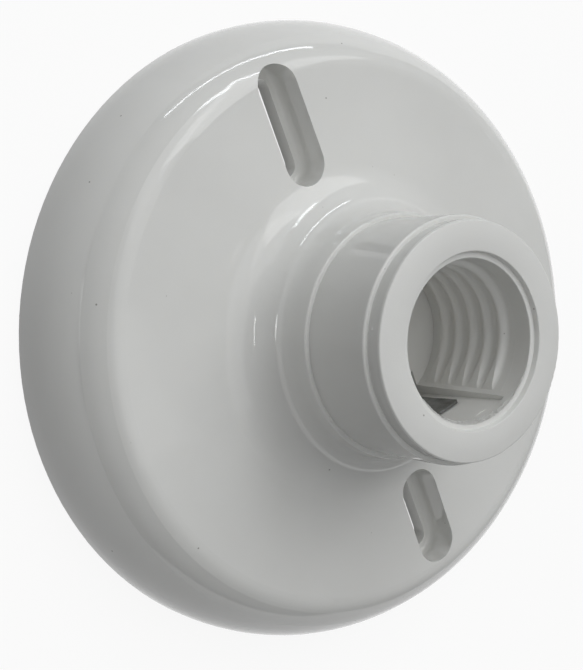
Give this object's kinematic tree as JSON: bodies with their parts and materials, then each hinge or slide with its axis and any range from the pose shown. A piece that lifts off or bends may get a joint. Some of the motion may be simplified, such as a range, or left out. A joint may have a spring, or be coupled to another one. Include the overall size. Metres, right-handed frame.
{
  "type": "lamp holder",
  "caption": "Round moulded-plastic ceiling lamp holder: flat-faced domed base with two stepped screw slots, flared neck and an open threaded socket for a medium screw lamp.",
  "frame": {"origin": "centre of the flat back, where the base meets the ceiling or wall", "axes": "+Z out of the socket mouth along the lamp axis, +Y towards the longer mounting slot, -Y towards the contact channel"},
  "size_m": [0.1158, 0.1158, 0.047],
  "materials": {
    "moulded_plastic": "glossy moulded urea plastic, satin on the lip",
    "nickel_plated_spring": "bright nickel plate on spring bronze",
    "bronze_spring": "rolled phosphor bronze strip",
    "terminal_brass": "plain brass",
    "nickel_plated_steel": "nickel plated steel"
  },
  "bodies": {
    "holder": {"holder_body": "moulded_plastic", "side_contact": "nickel_plated_spring", "line_terminal": "terminal_brass", "neutral_terminal": "nickel_plated_steel", "centre_rivet": "terminal_brass", "side_rivet": "terminal_brass"},
    "centre_tongue": {"centre_contact": "bronze_spring"},
    "line_screw_body": {"line_screw": "terminal_brass"},
    "neutral_screw_body": {"neutral_screw": "nickel_plated_steel"}
  },
  "joints": [
    {"name": "centre_contact_press", "type": "hinge", "parent": "holder", "child": "centre_tongue", "pos_m": [0, 0.0072, 0.02255], "axis": [1, 0, 0], "range_deg": [0, 7], "stiffness_Nm_per_rad": 0.1, "springref_deg": -1.72},
    {"name": "line_screw_travel", "type": "slide", "parent": "holder", "child": "line_screw_body", "axis": [0, 0, -1], "range_m": [0, 0.003]},
    {"name": "neutral_screw_travel", "type": "slide", "parent": "holder", "child": "neutral_screw_body", "axis": [0, 0, -1], "range_m": [0, 0.003]}
  ]
}
